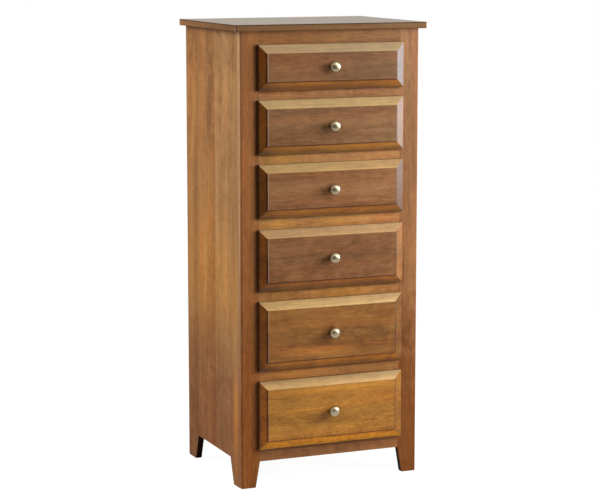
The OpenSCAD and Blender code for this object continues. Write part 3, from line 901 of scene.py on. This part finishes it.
def knob_section():
    """Half of the knob's section: radius and height above the face."""
    rim = KNOB_OUT - RIM_DROP * CAP_H
    neck_top = KNOB_OUT - CAP_H + 1.0
    middle = (FOOT_H + neck_top) / 2
    waist = FOOT_R - NECK_R - 0.6
    return (
        [(0.0, BOLT_BITE + BOLT_GAP), (BOLT_R + BOLT_GAP, BOLT_BITE + BOLT_GAP), (BOLT_R + BOLT_GAP, 0.0)]
        + arc(FOOT_R - FOOT_ROUND, FOOT_ROUND, FOOT_ROUND, FOOT_ROUND, -90, 0, 5)
        + arc(FOOT_R - FOOT_ROUND, FOOT_H - FOOT_ROUND, FOOT_ROUND, FOOT_ROUND, 0, 90, 5)
        + arc(NECK_R + waist, middle, waist, neck_top - middle, 262, 98, 16)
        + arc(0.0, rim, KNOB_R - 0.15, rim - neck_top, -48, -12, 8)
        + arc(KNOB_R - 1.0, rim, 1.0, 0.95, -50, 50, 8)
        + arc(0.0, rim, KNOB_R, KNOB_OUT - rim, 9, 90, 26)
    )


def bolt_section():
    """Half of the machine screw's section: a domed head inside the box and a shank into the knob."""
    seat = -(FACE_T + BOX_END)
    shank = [(0.0, BOLT_BITE), (BOLT_R - 0.4, BOLT_BITE), (BOLT_R, BOLT_BITE - 0.5), (BOLT_R, seat)]
    return shank + [(BOLT_HEAD_R, seat)] + arc(0.0, seat - 0.5, BOLT_HEAD_R, BOLT_HEAD_H - 0.5, 0, -90, 8)


def turn(mesh, section):
    """Turns a section about its height axis into a closed shell, ends on the axis joined to one point."""
    rings = []
    for radius, height in section:
        if radius < 1e-6:
            rings.append([mesh.verts.new((0.0, 0.0, height * MM))])
            continue
        ring = []
        for k in range(TURN_SEGMENTS):
            a = 2 * math.pi * k / TURN_SEGMENTS
            ring.append(mesh.verts.new((radius * math.cos(a) * MM, radius * math.sin(a) * MM, height * MM)))
        rings.append(ring)
    for low, high in zip(rings, rings[1:]):
        for k in range(TURN_SEGMENTS):
            places = ((low, k), (low, k + 1), (high, k + 1), (high, k))
            corners = list(dict.fromkeys(points[n % len(points)] for points, n in places))
            if len(corners) > 2:
                mesh.faces.new(corners)


def make_knob(i, material):
    """The turned knob and its machine screw on the axis of drawer i's knob."""
    low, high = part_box(f"drawer_{i}_knob")
    mesh = bmesh.new()
    turn(mesh, knob_section())
    turn(mesh, bolt_section())
    face_y = low.y + KNOB_OUT * MM
    for vertex in mesh.verts:
        x, y, z = vertex.co
        vertex.co = ((low.x + high.x) / 2 + x, face_y - z, (low.z + high.z) / 2 + y)
    bmesh.ops.recalc_face_normals(mesh, faces=mesh.faces)
    data = bpy.data.meshes.new(f"knob_{i}")
    mesh.to_mesh(data)
    mesh.free()
    data.shade_smooth()
    data.materials.append(material)
    piece = bpy.data.objects.new(f"knob_{i}", data)
    bpy.context.scene.collection.objects.link(piece)
    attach(piece, f"drawer_{i}")
    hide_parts(f"drawer_{i}_knob")


def make_knobs():
    brass = metal("champagne_brass", linear(*KNOB_METAL), 0.33, 0.15, 0.4)
    for i in DRAWERS:
        make_knob(i, brass)


# Floor, lights and background

# The camera sees the floor whole up to the first distance from its middle, and gone at the second. The disc
# ends beyond that by the margin
FLOOR_CLEAR, FLOOR_GONE, FLOOR_MARGIN = 1.3, 3.2, 0.3
FLOOR_COLOUR = (178, 176, 173)
# Strength of the white that covers the floor for the camera, and the share of its own light and shadow left
FLOOR_GLOW, SHADOW_SHARE = 1.25, 0.22
# Even light of the world, and its colour for all but the camera
WORLD_LIGHT, WORLD_COLOUR = 0.08, (1.0, 0.99, 0.94, 1.0)
# Reflections show a white room that is dim in front of the chest: direction, where the dimness starts and
# ends, and the light left in it
STUDIO_FRONT = (-0.22, -0.90, -0.38)
FRONT_EDGE, FRONT_CORE, FRONT_LIGHT = 0.42, 0.76, 0.10
# Name, place, aim, width, height, power in watts and colour
LIGHTS = [
    ("window", (2.96, -2.68, 1.98), (0.0, -0.2, 0.8), 1.8, 1.7, 131.0, (1.0, 1.0, 1.0)),
    ("above", (1.0, -2.3, 3.0), (0.0, -0.25, 0.9), 1.7, 1.1, 25.0, (1.0, 1.0, 1.0)),
    ("right", (1.85, -0.98, 1.15), (0.1, -0.2, 1.1), 0.45, 0.8, 37.0, (0.80, 0.87, 1.0)),
    ("left_rear", (-1.35, 1.3, 1.85), (-0.28, 0.1, 0.9), 1.1, 1.1, 66.0, (1.0, 1.0, 1.0)),
]
# The lamp behind the chest would show in its polished top as a white patch
UNREFLECTED = "left_rear"


def seen_rays(g):
    """The kinds of ray, and 1 for those of the camera, of gloss and through glass."""
    rays = g.add("LightPath").outputs
    return rays, g.largest(rays["Is Camera Ray"], rays["Is Glossy Ray"], rays["Is Transmission Ray"])


def make_floor():
    """A pale round floor that the camera sees as white, with the chest's shadow left on it."""
    mesh = bmesh.new()
    bmesh.ops.create_circle(mesh, cap_ends=True, segments=96, radius=FLOOR_GONE + FLOOR_MARGIN)
    data = bpy.data.meshes.new("floor")
    mesh.to_mesh(data)
    mesh.free()
    floor = bpy.data.objects.new("floor", data)
    bpy.context.scene.collection.objects.link(floor)
    g = Material("floor")
    g.surface(linear(*FLOOR_COLOUR), 0.9, **{"Specular IOR Level": 0.0})
    _, seen = seen_rays(g)
    glow = g.add("Emission", WHITE, FLOOR_GLOW).outputs[0]
    white = g.add("MixShader", g.times(seen, 1.0 - SHADOW_SHARE), g.shader.outputs[0], glow).outputs[0]
    place = g.add("TexCoord").outputs["Object"]
    away = g.add("VectorMath", place, operation="LENGTH").outputs["Value"]
    fade = g.times(g.spread(away, FLOOR_CLEAR, FLOOR_GONE), seen)
    blend = g.add("MixShader", fade, white, g.add("BsdfTransparent").outputs[0])
    g.tree.links.new(blend.outputs[0], g.tree.nodes["Material Output"].inputs["Surface"])
    g.material.cycles.emission_sampling = "NONE"
    data.materials.append(g.material)


def make_world():
    """White where the camera or a reflection sees it, and a dim even light for the rest."""
    world = bpy.data.worlds.new("studio")
    bpy.context.scene.world = world
    world.use_nodes = True
    world.cycles.sampling_method = "NONE"
    g = Graph(world.node_tree)
    rays, seen = seen_rays(g)
    shade = g.tree.nodes["Background"]
    g.put(shade.inputs["Color"], g.mix(rays["Is Camera Ray"], WORLD_COLOUR, WHITE))
    direction = g.vector("NORMALIZE", g.add("TexCoord").outputs["Generated"])
    product = g.add("VectorMath", direction, STUDIO_FRONT, operation="DOT_PRODUCT").outputs["Value"]
    front = g.spread(product, FRONT_EDGE, FRONT_CORE, 1.0, FRONT_LIGHT)
    view = g.largest(rays["Is Camera Ray"], front)
    g.put(shade.inputs["Strength"], g.largest(g.times(seen, view), WORLD_LIGHT))


def make_lights():
    for name, place, aim, width, height, power, colour in LIGHTS:
        data = bpy.data.lights.new(name, "AREA")
        data.shape = "RECTANGLE"
        data.size, data.size_y = width, height
        data.energy = power
        data.color = colour
        lamp = bpy.data.objects.new(name, data)
        lamp.location = place
        lamp.rotation_euler = (Vector(aim) - Vector(place)).to_track_quat("-Z", "Y").to_euler()
        lamp.visible_glossy = name != UNREFLECTED
        bpy.context.scene.collection.objects.link(lamp)


make_camera()
dress_case()
dress_drawers()
dress_inside()
dress_metal()
ease_edges()
make_knobs()
make_floor()
make_world()
make_lights()
bpy.context.scene.view_settings.view_transform = "Standard"

bpy.context.view_layer.update()
